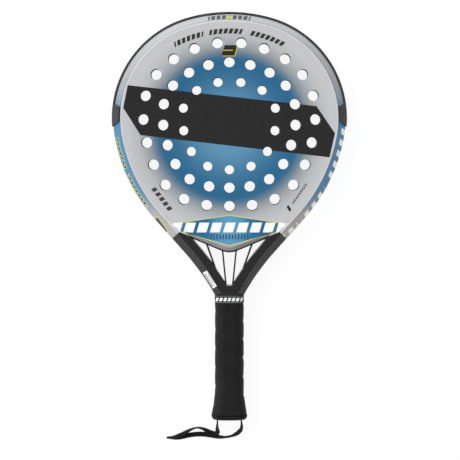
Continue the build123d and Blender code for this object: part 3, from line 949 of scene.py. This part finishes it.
def elastic_band(paint):
    """Elastic tape, knitted and printed: black ribs round the handle, with a pale thread along
    both edges."""
    material, tree, shader = new_material(
        "Elastic tape, knitted", Specular_IOR_Level=0.3, Sheen_Weight=0.1, Sheen_Roughness=0.5
    )
    low, high = (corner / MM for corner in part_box("collar_band"))
    middle = (low + high) / 2
    place = place_on(tree)
    # Knitted ribs are 0.4 mm apart, too fine to show, so they are drawn 0.8 mm apart.
    ribs = add_node(tree, "TexWave", {"Vector": place, "Scale": WAVE / 0.8}, bands_direction="X")
    ribs = ribs.outputs["Fac"]
    tone = add_node(tree, "MapRange", {"Value": ribs, "To Min": 0.6, "To Max": 1.5})
    base = shaded(tree, linear("#0e0e0f")[:3], tone)
    for edge, tint in ((high.y - 0.7, "#7c7e7e"), (low.y + 0.9, "#8e9090")):
        thread = bars(tree, place, (0, edge), 0, (60, 0.5), 90, 80)
        base = printed(tree, base, linear(tint), thread)
    blocks = bars(tree, place, (0, middle.y), 0, BAND_BLOCKS, 4.6, 3.1, 0.35)
    height = add_node(tree, "SeparateXYZ", {0: place}).outputs["Z"]
    front = add_node(tree, "Math", {0: height, 1: middle.z}, operation="SUBTRACT")
    base = printed(tree, base, paint.white[:], inside_all(tree, [blocks, front]))
    finish_surface(tree, shader, base, grain(tree, place, 3.0, 0.7, 0.85), ribs, 0.12)
    return material


def label_vinyl():
    """Vinyl film, printed: smooth white with rows of dark bars."""
    material, tree, shader = new_material("Vinyl film, printed", Specular_IOR_Level=0.5)
    low, high = (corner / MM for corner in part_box("inspection_sticker"))
    middle = ((low + high) / 2).xy
    place = place_on(tree)
    base = shaded(tree, linear("#eeeeec")[:3], grain(tree, place, 4.0, 0.97, 1.0))
    lean = degrees(atan2(low.y - high.y, high.x - low.x)) - LABEL_LEAN
    row = Vector((0, LABEL_ROW))
    row.rotate(Matrix.Rotation(radians(lean), 2))
    for side, run, height, pitch in ((1, 13, 0.9, 1.6), (-1, 16, 1.7, 2.4)):
        text = bars(tree, place, middle + row * side, lean, (run, height), pitch, pitch * 0.6)
        base = printed(tree, base, linear("#4a4a4a"), text)
    finish_surface(tree, shader, base, grain(tree, place, 5.0, 0.35, 0.45))
    return material


# ---------------------------------------------------------------- operators, in building order
class RACKET_OT_stage(bpy.types.Operator):
    """Place the camera, floor and lights"""

    bl_idname = "racket.stage"
    bl_label = "Stage"

    def execute(self, context):
        make_stage(context.scene.racket_stage)
        return {"FINISHED"}


class RACKET_OT_wrist_strap(bpy.types.Operator):
    """Weave the wrist strap along its route and finish its knots"""

    bl_idname = "racket.wrist_strap"
    bl_label = "Wrist strap"

    def execute(self, context):
        make_strap(context.scene.racket_strap)
        return {"FINISHED"}


class RACKET_OT_grip(bpy.types.Operator):
    """Wind the cushion tape down the handle"""

    bl_idname = "racket.grip"
    bl_label = "Grip"

    def execute(self, context):
        make_grip(context.scene.racket_grip)
        return {"FINISHED"}


class RACKET_OT_laminate(bpy.types.Operator):
    """Paint, print and lacquer the frame, the bridge and both faces"""

    bl_idname = "racket.laminate"
    bl_label = "Frame, bridge and faces"

    def execute(self, context):
        lacquered = painted_laminate(context.scene.racket_paint)
        dress(lacquered, "frame_tube", "bridge_tube", "front_face", "back_face")
        return {"FINISHED"}


class RACKET_OT_foams(bpy.types.Operator):
    """Finish the drilled core and the filler in the handle"""

    bl_idname = "racket.foams"
    bl_label = "Core and handle foam"

    def execute(self, context):
        dress(core_foam(), "foam_core")
        dress(filler_foam(), "handle_foam")
        return {"FINISHED"}


class RACKET_OT_bumper(bpy.types.Operator):
    """Finish the bumper round the crown"""

    bl_idname = "racket.bumper"
    bl_label = "Bumper"

    def execute(self, context):
        dress(moulded_polyurethane(), "head_bumper")
        return {"FINISHED"}


class RACKET_OT_struts(bpy.types.Operator):
    """Finish the four struts across the heart"""

    bl_idname = "racket.struts"
    bl_label = "Throat struts"

    def execute(self, context):
        sides, spots = ("left", "right"), ("inner", "outer")
        dress(moulded_nylon(), *[f"throat_strut_{a}_{b}" for a in sides for b in spots])
        return {"FINISHED"}


class RACKET_OT_butt_cap(bpy.types.Operator):
    """Finish the cap at the end of the handle"""

    bl_idname = "racket.butt_cap"
    bl_label = "Butt cap"

    def execute(self, context):
        dress(cap_rubber(), "butt_cap")
        return {"FINISHED"}


class RACKET_OT_collar(bpy.types.Operator):
    """Finish the elastic band over the top of the grip"""

    bl_idname = "racket.collar"
    bl_label = "Collar band"

    def execute(self, context):
        dress(elastic_band(context.scene.racket_paint), "collar_band")
        return {"FINISHED"}


class RACKET_OT_sticker(bpy.types.Operator):
    """Finish the small label on the left arm"""

    bl_idname = "racket.sticker"
    bl_label = "Label"

    def execute(self, context):
        dress(label_vinyl(), "inspection_sticker")
        return {"FINISHED"}


OPERATORS = (
    RACKET_OT_stage,
    RACKET_OT_wrist_strap,
    RACKET_OT_grip,
    RACKET_OT_laminate,
    RACKET_OT_foams,
    RACKET_OT_bumper,
    RACKET_OT_struts,
    RACKET_OT_butt_cap,
    RACKET_OT_collar,
    RACKET_OT_sticker,
)


class RACKET_PT_sidebar(bpy.types.Panel):
    """Lists the racket's sizes, colours and pieces"""

    bl_idname = "RACKET_PT_sidebar"
    bl_label = "Padel Racket"
    bl_space_type = "VIEW_3D"
    bl_region_type = "UI"
    bl_category = "Padel Racket"

    def draw(self, context):
        for group, kind in PROPERTY_GROUPS.items():
            box = self.layout.box()
            for name in kind.__annotations__:
                box.prop(getattr(context.scene, group), name)
        for operator in OPERATORS:
            self.layout.operator(operator.bl_idname)


def register():
    for kind in (*PROPERTY_GROUPS.values(), *OPERATORS, RACKET_PT_sidebar):
        bpy.utils.register_class(kind)
    for group, kind in PROPERTY_GROUPS.items():
        setattr(bpy.types.Scene, group, PointerProperty(type=kind))


def unregister():
    for group in PROPERTY_GROUPS:
        delattr(bpy.types.Scene, group)
    for kind in reversed((*PROPERTY_GROUPS.values(), *OPERATORS, RACKET_PT_sidebar)):
        bpy.utils.unregister_class(kind)


def main():
    """Registers the add-on and makes every piece."""
    register()
    bpy.ops.racket.stage()
    bpy.ops.racket.wrist_strap()
    bpy.ops.racket.grip()
    bpy.ops.racket.laminate()
    bpy.ops.racket.foams()
    bpy.ops.racket.bumper()
    bpy.ops.racket.struts()
    bpy.ops.racket.butt_cap()
    bpy.ops.racket.collar()
    bpy.ops.racket.sticker()


if __name__ == "__main__":
    main()
